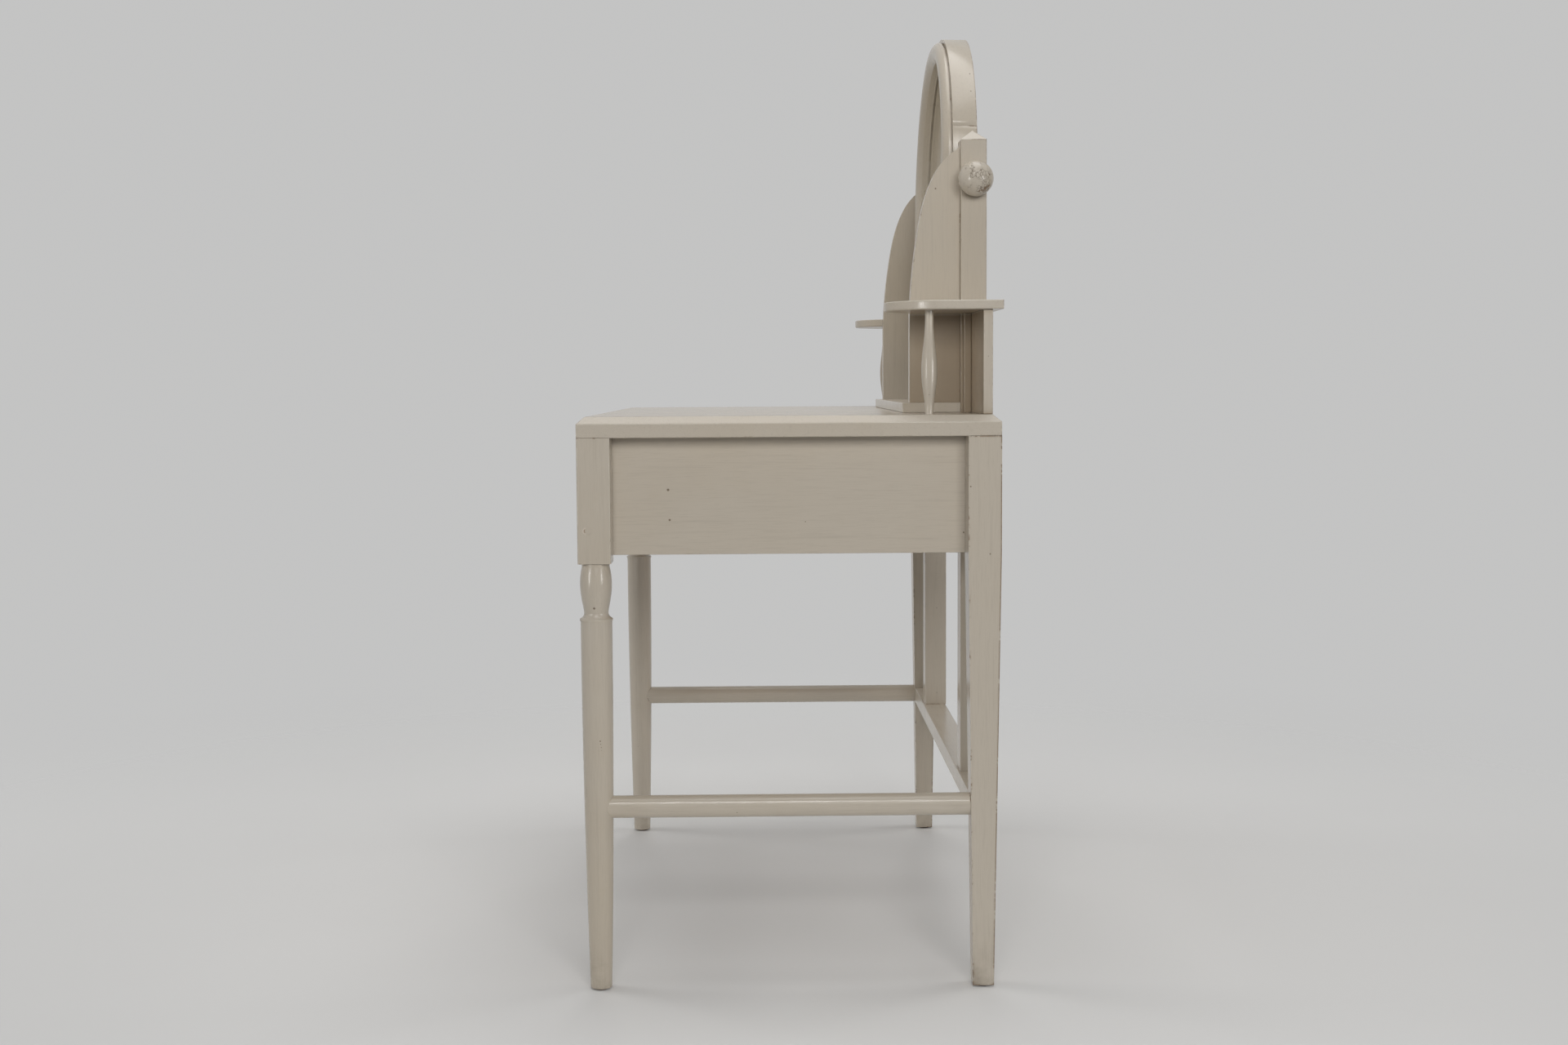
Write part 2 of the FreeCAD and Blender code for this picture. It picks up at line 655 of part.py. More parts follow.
def end_bay():
    y_front = Y_BACK - PANEL_SETBACK - PANEL_THICKNESS
    height = (TABLE_HEIGHT, SHELF_UNDERSIDE)
    add_pair("back_panel", board((X_POST_OUTER, PANEL_END), (y_front, y_front + PANEL_THICKNESS), height))
    add("bay_battens", group(both_sides(board((X_POST_OUTER, X_POST_OUTER + BATTEN_WIDTH),
                                              (y_front - BATTEN_DEPTH, y_front), height))))
    add_pair("end_shelf", end_shelf())
    add_pair("baluster", baluster())


# Mirror, built upright about its pivot
def place_mirror(shape):
    """Lean an upright mirror piece back and set it on the pivot line."""
    shape.rotate(ORIGIN, ALONG_X, -MIRROR_LEAN)
    shape.translate(Vector(0, Y_PIVOT, PIVOT_HEIGHT))
    return shape


def frame_section():
    """Rear frame's section at the right side, undercut at the glass: radius along X, depth along Y."""
    return [(SIGHT_HALF, -FRAME_FRONT), (MIRROR_HALF, -FRAME_FRONT), (MIRROR_HALF, FRAME_REAR),
            (REBATE_HALF, FRAME_REAR), (REBATE_HALF, GLASS_FRONT), (UNDERCUT_HALF, GLASS_FRONT),
            (UNDERCUT_HALF, GLASS_FRONT - SIGHT_GAP), (SIGHT_HALF, GLASS_FRONT - SIGHT_GAP)]


def bead_face(z):
    """Front moulding's section at the right side, at height z, with a quirk behind its outer side."""
    outer = MIRROR_HALF - BEAD_INSET
    inner = outer - BEAD_WIDTH
    neck_outer = outer - BEAD_QUIRK_DEPTH
    side = -FRAME_FRONT - BEAD_SIDE
    shoulder = -FRAME_FRONT - BEAD_QUIRK_WIDTH

    def at(x, y):
        return Vector(x, y, z)

    corners = [at(inner, side), at(inner, -FRAME_FRONT), at(neck_outer, -FRAME_FRONT),
               at(neck_outer, shoulder), at(outer, shoulder), at(outer, side)]
    edges = [line(a, b) for a, b in zip(corners, corners[1:])]
    edges.append(arc(corners[-1], at((outer + inner) / 2, -FRAME_FRONT - BEAD_PROUD), corners[0]))
    return Part.Face(Part.Wire(edges))


def arch(section_face):
    """Half ring over the arch's centre, from a section face standing at its right spring."""
    return section_face.revolve(Vector(0, 0, ARCH_CENTRE), -ALONG_Y, 180)


def frame_face(z):
    return polygon_face([Vector(x, y, z) for x, y in frame_section()])


def slab_above(z):
    reach = 2 * MIRROR_HALF
    return box((-reach, reach), (-reach, reach), (z, z + reach))


def right_half():
    reach = 2 * MIRROR_HALF
    return box((0, reach), (-reach, reach), (-reach, reach))


def mirror_frame():
    frame_arch = arch(frame_face(ARCH_CENTRE))
    crown = frame_arch.common(slab_above(CROWN_JOINT))
    haunch = frame_arch.cut(slab_above(CROWN_JOINT)).common(right_half())
    upright = frame_face(-MIRROR_BOTTOM).extrude(UP * (ARCH_CENTRE + MIRROR_BOTTOM))
    stile = upright.fuse(haunch).removeSplitter()
    rail_height = (-MIRROR_BOTTOM, FRAME_WIDTH - MIRROR_BOTTOM)
    rebate_length = (-REBATE_HALF, REBATE_HALF)
    rail = box(rebate_length, (-FRAME_FRONT, FRAME_REAR), rail_height)
    rebate_floor = FRAME_WIDTH - REBATE_WIDTH - MIRROR_BOTTOM
    undercut_floor = FRAME_WIDTH - SIGHT_UNDERCUT - MIRROR_BOTTOM
    rail = rail.cut(box(rebate_length, (GLASS_FRONT, FRAME_REAR), (rebate_floor, 0)))
    rail = rail.cut(box(rebate_length, (GLASS_FRONT - SIGHT_GAP, GLASS_FRONT), (undercut_floor, 0)))
    for side in both_sides(stile):
        rail = rail.cut(side)
    bush_hole = rod(BUSH_D + 2 * GLUE_GAP, Vector(MIRROR_HALF - BUSH_LENGTH, 0, 0), ALONG_X, BUSH_LENGTH)
    add_pair("mirror_stile", place_mirror(stile.cut(bush_hole)))
    add("mirror_crown", place_mirror(crown))
    add("mirror_bottom_rail", place_mirror(rail))
    bush = rod(BUSH_D, Vector(MIRROR_HALF - BUSH_LENGTH, 0, 0), ALONG_X, BUSH_LENGTH)
    bush = bush.cut(rod(KNOB_SCREW_D + 2 * RUNNING_GAP, Vector(0, 0, 0), ALONG_X, MIRROR_HALF))
    add("pivot_bushes", place_mirror(group(both_sides(bush))))


def mirror_bead():
    bead_bottom = BEAD_INSET - MIRROR_BOTTOM
    bead_arch = arch(bead_face(ARCH_CENTRE))
    for tail in both_sides(bead_face(BEAD_JOINT).extrude(UP * (ARCH_CENTRE - BEAD_JOINT))):
        bead_arch = bead_arch.fuse(tail)
    add("bead_arch", place_mirror(bead_arch.removeSplitter()))

    outer = MIRROR_HALF - BEAD_INSET
    inner = outer - BEAD_WIDTH
    side = bead_face(bead_bottom).extrude(UP * (BEAD_JOINT - bead_bottom))
    wedge_depth = 2 * FRAME_THICKNESS
    bead_inside = bead_bottom + BEAD_WIDTH
    mitre = polygon_face([Vector(x, -wedge_depth, z) for x, z in (
        (0, bead_bottom), (outer, bead_bottom), (inner, bead_inside), (0, bead_inside))])
    mitre_wedge = mitre.extrude(ALONG_Y * wedge_depth)
    add("bead_sides", place_mirror(group(both_sides(side.cut(mitre_wedge)))))

    lying = bead_face(0)
    lying.rotate(ORIGIN, ALONG_Y, 90)
    lying.translate(Vector(0, 0, outer + bead_bottom))
    half_bottom = lying.extrude(ALONG_X * outer).common(mitre_wedge)
    add("bead_bottom", place_mirror(half_bottom.fuse(mirrored(half_bottom)).removeSplitter()))


def arched_sheet(half_width, bottom, y_front, thickness):
    """Flat sheet with a round top about the arch's centre."""
    def at(x, z):
        return Vector(x, y_front, z)

    left = at(-half_width, ARCH_CENTRE)
    right = at(half_width, ARCH_CENTRE)
    outline = Part.Wire([
        line(at(-half_width, bottom), at(half_width, bottom)),
        line(at(half_width, bottom), right),
        arc(right, at(0, ARCH_CENTRE + half_width), left),
        line(left, at(-half_width, bottom)),
    ])
    return Part.Face(outline).extrude(ALONG_Y * thickness)


def mirror_filling():
    half_width = REBATE_HALF - GLASS_CLEARANCE
    bottom = FRAME_WIDTH - REBATE_WIDTH - MIRROR_BOTTOM
    add("mirror_glass", place_mirror(arched_sheet(half_width, bottom, GLASS_FRONT, GLASS_THICKNESS)))
    add("mirror_back_board", place_mirror(arched_sheet(half_width, bottom, GLASS_FRONT + GLASS_THICKNESS,
                                                       BACK_BOARD_THICKNESS)))
    y = BACK_BOARD_REAR + PIN_D / 2 + GLUE_GAP
    pins = []
    for z in PIN_HEIGHTS:
        pins += both_sides(rod(PIN_D, Vector(REBATE_HALF - PIN_LENGTH, y, z), ALONG_X, PIN_LENGTH))
    pins += both_sides(rod(PIN_D, Vector(PIN_SPREAD, y, bottom), UP, PIN_LENGTH))
    add("back_board_pins", place_mirror(group(pins)))


# Clamp knobs on the pivot line
def clamp_knobs():
    ball_radius = BALL_D / 2
    neck_radius = BALL_NECK_D / 2
    seat = X_POST_OUTER + SLIDE_GAP
    ball_centre = BALL_NECK_LENGTH + math.sqrt(ball_radius ** 2 - neck_radius ** 2)
    neck_top = at_radius(neck_radius, BALL_NECK_LENGTH)
    top = at_radius(0, ball_centre + ball_radius)
    ball = turned([
        line(ORIGIN, at_radius(neck_radius, 0)),
        line(at_radius(neck_radius, 0), neck_top),
        arc(neck_top, at_radius(ball_radius, ball_centre), top),
        line(top, ORIGIN),
    ])
    ball = ball.cut(rod(KNOB_SCREW_D + 2 * GLUE_GAP, ORIGIN, UP, KNOB_SCREW_GRIP))
    ball.rotate(ORIGIN, ALONG_Y, 90)
    ball.translate(Vector(seat, Y_PIVOT, PIVOT_HEIGHT))
    screw_start = Vector(MIRROR_HALF - KNOB_SCREW_REACH, Y_PIVOT, PIVOT_HEIGHT)
    screw = rod(KNOB_SCREW_D, screw_start, ALONG_X, seat + KNOB_SCREW_GRIP - screw_start.x)
    add_pair("mirror_knob", ball)
    add_pair("knob_screw", screw)
    start = Vector(MIRROR_HALF + MIRROR_GAP, Y_PIVOT, PIVOT_HEIGHT)
    collar = rod(COLLAR_SPACER_D, start, ALONG_X, X_POST_INNER - start.x)
    collar = collar.cut(rod(KNOB_SCREW_D + 2 * RUNNING_GAP, start, ALONG_X, X_POST_INNER - start.x))
    add("pivot_collars", group(both_sides(collar)))


# Drawers
def drawer_knob():
    """Turned knob with a dowel, standing on Z before it is laid towards the front."""
    ball_radius = DRAWER_KNOB_D / 2
    neck_radius = DRAWER_KNOB_NECK_D / 2
    ball_centre = DRAWER_KNOB_PROUD - ball_radius
    neck_height = ball_centre - math.sqrt(ball_radius ** 2 - neck_radius ** 2)
    base_corner = at_radius(DRAWER_KNOB_BASE_D / 2, 0)
    base_top = at_radius(DRAWER_KNOB_BASE_D / 2, DRAWER_KNOB_BASE)
    neck_top = at_radius(neck_radius, neck_height)
    top = at_radius(0, DRAWER_KNOB_PROUD)
    dowel_radius = DRAWER_KNOB_DOWEL_D / 2
    knob = turned([
        line(at_radius(0, -DRAWER_KNOB_DOWEL), at_radius(dowel_radius, -DRAWER_KNOB_DOWEL)),
        line(at_radius(dowel_radius, -DRAWER_KNOB_DOWEL), at_radius(dowel_radius, 0)),
        line(at_radius(dowel_radius, 0), base_corner),
        line(base_corner, base_top),
        line(base_top, neck_top),
        arc(neck_top, at_radius(ball_radius, ball_centre), top),
        line(top, at_radius(0, -DRAWER_KNOB_DOWEL)),
    ])
    knob.rotate(ORIGIN, ALONG_X, 90)
    knob.translate(Vector(DRAWER_MIDDLE, Y_FRONT, (DRAWER_FRONT_BOTTOM + DRAWER_FRONT_TOP) / 2))
    return knob


def drawer():
    side_height = (DRAWER_SIDE_BOTTOM, DRAWER_SIDE_TOP)
    box_length = (Y_DRAWER_BOX, Y_DRAWER_BACK)
    inner = (DRAWER_INNER, DRAWER_INNER + DRAWER_SIDE_THICKNESS)
    outer = (DRAWER_OUTER - DRAWER_SIDE_THICKNESS, DRAWER_OUTER)
    bottom_height = (DRAWER_BOTTOM_Z, DRAWER_BOTTOM_Z + DRAWER_BOTTOM_THICKNESS)
    groove_height = (bottom_height[0] - GLUE_GAP, bottom_height[1] + GLUE_GAP)
    panel_x = (inner[1] - GROOVE_DEPTH + GLUE_GAP, outer[0] + GROOVE_DEPTH - GLUE_GAP)
    panel_y = (Y_DRAWER_BOX - GROOVE_DEPTH + GLUE_GAP, Y_DRAWER_BACK)
    groove = box((panel_x[0] - GLUE_GAP, panel_x[1] + GLUE_GAP), (panel_y[0] - GLUE_GAP, Y_DRAWER_BACK),
                 groove_height)
    dowel_hole = rod(DRAWER_KNOB_DOWEL_D + 2 * GLUE_GAP,
                     Vector(DRAWER_MIDDLE, Y_FRONT, (DRAWER_FRONT_BOTTOM + DRAWER_FRONT_TOP) / 2),
                     ALONG_Y, DRAWER_KNOB_DOWEL + GLUE_GAP)
    front = board((DRAWER_INNER, DRAWER_OUTER), (Y_FRONT, Y_DRAWER_BOX),
                  (DRAWER_FRONT_BOTTOM, DRAWER_FRONT_TOP))
    add_pair("drawer_front", front.cut(groove).cut(dowel_hole))
    sides = [board(x_range, box_length, side_height).cut(groove) for x_range in (inner, outer)]
    add_pair("drawer_sides", group(sides))
    back_thickness = (Y_DRAWER_BACK - DRAWER_BACK_THICKNESS, Y_DRAWER_BACK)
    add_pair("drawer_back", board((inner[1], outer[0]), back_thickness,
                                  (bottom_height[1], DRAWER_SIDE_TOP - DRAWER_BACK_DROP)))
    add_pair("drawer_bottom", box(panel_x, panel_y, bottom_height))
    add_pair("drawer_knob", drawer_knob())


def build():
    add("table_top", table_top())
    add_pair("front_leg", front_leg())
    add_pair("rear_leg", rear_leg_blank().cut(stretcher_bores()).cut(rear_tenon(GLUE_GAP)))
    add("foot_glides", foot_glides())
    add_pair("side_apron", side_apron())
    add("back_apron", back_apron())
    add("front_top_rail", board((-X_APRON_INNER, X_APRON_INNER), (Y_FRONT, Y_FRONT + FRONT_TOP_RAIL_DEPTH),
                                (FRONT_TOP_RAIL_BOTTOM, TOP_UNDERSIDE)))
    add("front_bottom_rail", front_bottom_rail())
    add("drawer_divider", board(square_range(0, DIVIDER_WIDTH), (Y_FRONT, Y_RAIL_BACK),
                                (RUNNER_TOP, FRONT_TOP_RAIL_BOTTOM)))
    add("drawer_runners", drawer_runners())
    add("drawer_kickers", drawer_kickers())
    add("drawer_stops", drawer_stops())
    add("glue_blocks", glue_blocks())
    add("rail_pegs", group(both_sides(rod(PEG_D, peg_start(PEG_RECESS), -ALONG_X, PEG_LENGTH - PEG_RECESS))))
    add_pair("side_stretcher", side_stretcher())
    add("rear_stretcher", rear_stretcher())
    add_pair("mirror_post", mirror_post())
    screws = []
    for z in post_screw_places():
        screws += both_sides(post_screw(z))
    add("post_screws", group(screws))
    add("plinth", board((-X_POST_OUTER, X_POST_OUTER), (Y_POST_FRONT - PLINTH_DEPTH, Y_POST_FRONT),
                        (TABLE_HEIGHT, PLINTH_TOP)))
    add_pair("side_board", side_board())
    end_bay()
    mirror_frame()
    mirror_bead()
    mirror_filling()
    clamp_knobs()
    drawer()


build()
os.makedirs("parts", exist_ok=True)
for name, shape in pieces.items():
    shape.exportStep("parts/" + name + ".step")
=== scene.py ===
"""Looks for the painted dressing table: materials, worn details, floor, light and camera."""
import math

import bmesh
import bpy
from mathutils import Matrix, Vector


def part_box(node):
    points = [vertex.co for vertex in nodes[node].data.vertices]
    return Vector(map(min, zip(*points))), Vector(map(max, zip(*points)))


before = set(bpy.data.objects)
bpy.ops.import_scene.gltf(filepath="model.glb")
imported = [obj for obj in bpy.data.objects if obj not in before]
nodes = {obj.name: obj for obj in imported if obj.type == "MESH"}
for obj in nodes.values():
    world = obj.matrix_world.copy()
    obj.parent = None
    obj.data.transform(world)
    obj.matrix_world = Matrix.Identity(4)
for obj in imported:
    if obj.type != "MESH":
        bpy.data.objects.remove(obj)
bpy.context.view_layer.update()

# Colours, linear
CREAM = (0.548, 0.492, 0.412, 1.0)
YELLOWED = (0.492, 0.421, 0.320, 1.0)
BRUSHED = (0.440, 0.389, 0.320, 1.0)
# Painted shade of the end bays, darker and warmer than the cream
BAY_PAINTED_SHADE = (0.350, 0.275, 0.190, 1.0)
FRESH = (0.660, 0.585, 0.510, 1.0)
GRIME_AND_SHADE = (0.135, 0.098, 0.062, 1.0)
CHIPPED = (0.120, 0.066, 0.030, 1.0)
CHIP_PALE = (0.260, 0.170, 0.095, 1.0)
SPECK = (0.130, 0.085, 0.050, 1.0)
PINE = (0.430, 0.265, 0.130, 1.0)
PINE_DARK = (0.255, 0.135, 0.058, 1.0)
PINE_AGED = (0.300, 0.180, 0.090, 1.0)
SILVER = (0.800, 0.785, 0.740, 1.0)
FOXED = (0.300, 0.280, 0.240, 1.0)
BRASS = (0.450, 0.310, 0.120, 1.0)
STEEL = (0.320, 0.310, 0.300, 1.0)
DARK_METAL = (0.060, 0.050, 0.042, 1.0)
RUST = (0.110, 0.052, 0.025, 1.0)
FLOOR = (0.78, 0.78, 0.775, 1.0)
BACKDROP = (0.55, 0.55, 0.547, 1.0)
WHITE = (1.0, 1.0, 1.0, 1.0)
LAMP_COLOUR = (1.0, 0.992, 0.98)

# Faces of the frame that wear is placed by, in metres
FRONT_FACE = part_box("table_top")[0].y
BACK_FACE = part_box("table_top")[1].y
APRON_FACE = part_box("side_apron_right")[1].x
BOARD_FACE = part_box("side_board_right")[1].x
LEG_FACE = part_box("rear_leg_right")[1].x

# Wear on the paint, in metres; the two bands run from where wear starts to where it is full, and the front
# one has a share of the rear one's wear
EDGE_WEAR = 0.0026
# Reach of the grime and painted shade in corners and joints
GRIME_AND_SHADE_REACH = 0.004
FLOOR_GRIME_TOP = 0.07
BRUSH_RELIEF = 0.00016
REAR_WEAR = (BACK_FACE - 0.0274, BACK_FACE - 0.0014)
FRONT_WEAR = (FRONT_FACE + 0.0086, FRONT_FACE + 0.0006)
FRONT_SHARE = 0.75

# End bays, where shade is painted into the paint's colour, darker and warmer in their corners, in metres
BAY_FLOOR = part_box("table_top")[1].z
BAY_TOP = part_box("end_shelf_right")[0].z
BAY_SIDE = BOARD_FACE - 0.008
BAY_FADE = 0.004
BAY_SHADE_REACH = 0.12

# Nail holes, small knocks and a scratch, by the grain of the paint they are in: place and radius in metres
MARKS = {
    "x": (((0.1740, 0.2790, 1.2600), 0.0014), ((0.1960, 0.2780, 1.2315), 0.0012)),
    "y": (((APRON_FACE, -0.1525, 0.6731), 0.0021), ((APRON_FACE, -0.1508, 0.6326), 0.0018),
          ((APRON_FACE, 0.2437, 0.6132), 0.0013), ((APRON_FACE, 0.0310, 0.6290), 0.0009)),
    "z": (((BOARD_FACE, 0.2190, 1.0845), 0.0014), ((0.4540, -0.2498, 0.5191), 0.0024),
          ((-0.4190, -0.2643, 0.4271), 0.0019), ((LEG_FACE, 0.2739, 0.5879), 0.0012),
          ((LEG_FACE, 0.2481, 0.6773), 0.0012), ((0.4580, -0.2441, 0.3416), 0.0011),
          ((0.4582, -0.2434, 0.3374), 0.0010), ((0.4580, -0.2428, 0.3330), 0.0010),
          ((0.4580, -0.2424, 0.3290), 0.0010)),
}

# Larger knocks with a pale rim round a bare middle, in the same way, by the rim's radius
KNOCKS = {"z": (((LEG_FACE, -0.2593, 0.6220), 0.0052),)}
KNOCK_MIDDLE = 0.62

# Handled knobs, in metres: the worn place is given from the middle of the right knob's outer face
KNOB_WEAR_OFFSET = (-0.0035, 0.0056, -0.0075)
KNOB_WEAR_RADIUS = 0.024
KNOB_CRACK_DRIFT = 0.006
KNOB_GRIME_AND_SHADE_REACH = 0.008
KNOB_RELIEF = 0.0003

# Flaws of the old mirror: metres in from its rim where they start and are full, and how strong they get
RIM_STAIN = (0.022, 0.008)
RIM_FOXING = (0.040, 0.010)
FOXING_SHARE = 0.7
GLASS_DOT_SHARE = 0.8

# Bare wood and metal, in metres
WOOD_CORNER_DARKENING_REACH = 0.012
WOOD_RELIEF = 0.0002
METAL_GRIME_REACH = 0.004
METAL_RELIEF = 0.0001

# How far textures are drawn out along the grain, as a factor on that axis
FIBRE_PULL = 0.035
RING_PULL = 0.12

# Samples of the nodes that look for edges and corners, and how much of a spot's radius is its full middle
WEAR_SAMPLES = 6
SPOT_MIDDLE = 0.6

# Sockets of a mix node for colours; their names repeat on the node, so they go by number
MIX_SHARE = 0
MIX_UNDER = 6
MIX_OVER = 7
MIX_RESULT = 2


def stretch(axis, pull):
    """Factors that draw a texture out along one axis."""
    return tuple(pull if letter == axis else 1.0 for letter in "xyz")


class Graph:
    """Short calls for building the node tree of a material or a world."""

    def __init__(self, owner):
        owner.use_nodes = True
        self.owner = owner
        self.tree = owner.node_tree
        self.shader = self.tree.nodes.get("Principled BSDF")

    def add(self, kind, **settings):
        node = self.tree.nodes.new(kind)
        for key, value in settings.items():
            setattr(node, key, value)
        return node

    def feed(self, socket, value):
        if isinstance(value, bpy.types.NodeSocket):
            self.tree.links.new(value, socket)
        else:
            socket.default_value = value

    def surface(self, inputs):
        """Feeds the material's main shader by the names of its inputs, and gives back the material."""
        for name, value in inputs.items():
            self.feed(self.shader.inputs[name], value)
        return self.owner

    def math(self, operation, a, b=0.0):
        node = self.add("ShaderNodeMath", operation=operation)
        self.feed(node.inputs[0], a)
        self.feed(node.inputs[1], b)
        return node.outputs[0]

    def times(self, *values):
        result = values[0]
        for value in values[1:]:
            result = self.math("MULTIPLY", result, value)
        return result

    def weighted(self, *parts, base=0.0):
        """A base with parts added to it, each given as a value and its weight."""
        result = base
        for value, weight in parts:
            result = self.math("ADD", result, self.times(value, weight))
        return result

    def length(self, a, b):
        return self.math("SQRT", self.math("ADD", self.times(a, a), self.times(b, b)))

    def ramp(self, value, start, full):
        """0 at start, 1 at full, smooth between; start may be above full."""
        node = self.add("ShaderNodeMapRange", interpolation_type="SMOOTHSTEP")
        self.feed(node.inputs["Value"], value)
        self.feed(node.inputs["From Min"], start)
        self.feed(node.inputs["From Max"], full)
        return node.outputs["Result"]

    def vector(self, operation, *values):
        node = self.add("ShaderNodeVectorMath", operation=operation)
        for socket, value in zip(node.inputs, values):
            self.feed(socket, value)
        return node.outputs

    def scaled(self, vector, factors):
        return self.vector("MULTIPLY", vector, factors)["Vector"]

    def axes(self, vector):
        node = self.add("ShaderNodeSeparateXYZ")
        self.feed(node.inputs[0], vector)
        return node.outputs

    def coordinates(self):
        return self.add("ShaderNodeTexCoord").outputs["Object"]

    def texture(self, kind, vector, inputs, **settings):
        """A texture node on a vector, with other inputs set by their names."""
        node = self.add(kind, **settings)
        self.feed(node.inputs["Vector"], vector)
        for name, value in inputs.items():
            self.feed(node.inputs[name], value)
        return node.outputs

    def noise(self, vector, scale, detail, roughness):
        inputs = {"Scale": scale, "Detail": detail, "Roughness": roughness}
        return self.texture("ShaderNodeTexNoise", vector, inputs)["Fac"]

    def drifted(self, vector, scale, reach):
        """The vector pushed about by a noise."""
        drift = self.texture("ShaderNodeTexNoise", vector, {"Scale": scale})["Color"]
        return self.vector("ADD", vector, self.scaled(drift, (reach, reach, reach)))["Vector"]

    def mix(self, under, over, mask, share=1.0):
        """One colour over another, by a mask and at most by a share."""
        node = self.add("ShaderNodeMix", data_type="RGBA")
        self.feed(node.inputs[MIX_SHARE], self.times(mask, share))
        self.feed(node.inputs[MIX_UNDER], under)
        self.feed(node.inputs[MIX_OVER], over)
        return node.outputs[MIX_RESULT]

    def tint(self, under, over, value, start, full, share):
        """One colour over another where a value is high, at most by a share."""
        return self.mix(under, over, self.ramp(value, start, full), share)

    def blend(self, share, first, second):
        """A mix of two shaders."""
        node = self.add("ShaderNodeMixShader")
        for socket, value in zip(node.inputs, (share, first, second)):
            self.feed(socket, value)
        return node.outputs[0]

    def bump(self, height, distance):
        node = self.add("ShaderNodeBump")
        self.feed(node.inputs["Distance"], distance)
        self.feed(node.inputs["Height"], height)
        return node.outputs["Normal"]

    def edges(self, radius):
        """About 1 on sharp outer edges and corners, 0 on flat faces."""
        bevel = self.add("ShaderNodeBevel", samples=WEAR_SAMPLES)
        self.feed(bevel.inputs["Radius"], radius)
        face = self.add("ShaderNodeNewGeometry").outputs["Normal"]
        likeness = self.vector("DOT_PRODUCT", bevel.outputs["Normal"], face)["Value"]
        return self.ramp(likeness, start=0.995, full=0.90)

    def crevices(self, distance, clear=0.62, deep=0.22):
        """0 on open faces, 1 deep in corners, by the share of open sky within the distance."""
        occlusion = self.add("ShaderNodeAmbientOcclusion", samples=WEAR_SAMPLES)
        self.feed(occlusion.inputs["Distance"], distance)
        return self.ramp(occlusion.outputs["AO"], start=clear, full=deep)

    def specks(self, coords, scale, radius, kept):
        """Small scattered dots, in a share of the cells, of up to the radius given in metres."""
        cells = self.texture("ShaderNodeTexVoronoi", coords, {"Scale": scale})
        chance = self.add("ShaderNodeSeparateColor")
        self.feed(chance.inputs[0], cells["Color"])
        reach = self.times(chance.outputs[1], radius * scale)
        inside = self.math("LESS_THAN", cells["Distance"], reach)
        return self.times(inside, self.math("GREATER_THAN", chance.outputs[0], 1 - kept))

    def spot(self, coords, place, radius):
        """About 1 within the radius of a place, fading out at its rim."""
        away = self.vector("DISTANCE", coords, place)["Value"]
        return self.ramp(away, start=radius, full=SPOT_MIDDLE * radius)


def bay_painted_shade_mask(g, x, z):
    """Mask of painted shade: 1 in the corners of the end bays, 0 on open faces and outside the bays."""
    return g.times(g.crevices(BAY_SHADE_REACH, clear=0.92, deep=0.52),
                   g.ramp(z, start=BAY_TOP, full=BAY_TOP - BAY_FADE),
                   g.ramp(z, start=BAY_FLOOR - BAY_FADE, full=BAY_FLOOR),
                   g.ramp(g.math("ABSOLUTE", x), start=BAY_SIDE, full=BAY_SIDE + BAY_FADE))


def bared(g, fine):
    """Colour of the wood under lost paint."""
    return g.mix(CHIPPED, CHIP_PALE, g.ramp(fine, start=0.4, full=0.65))


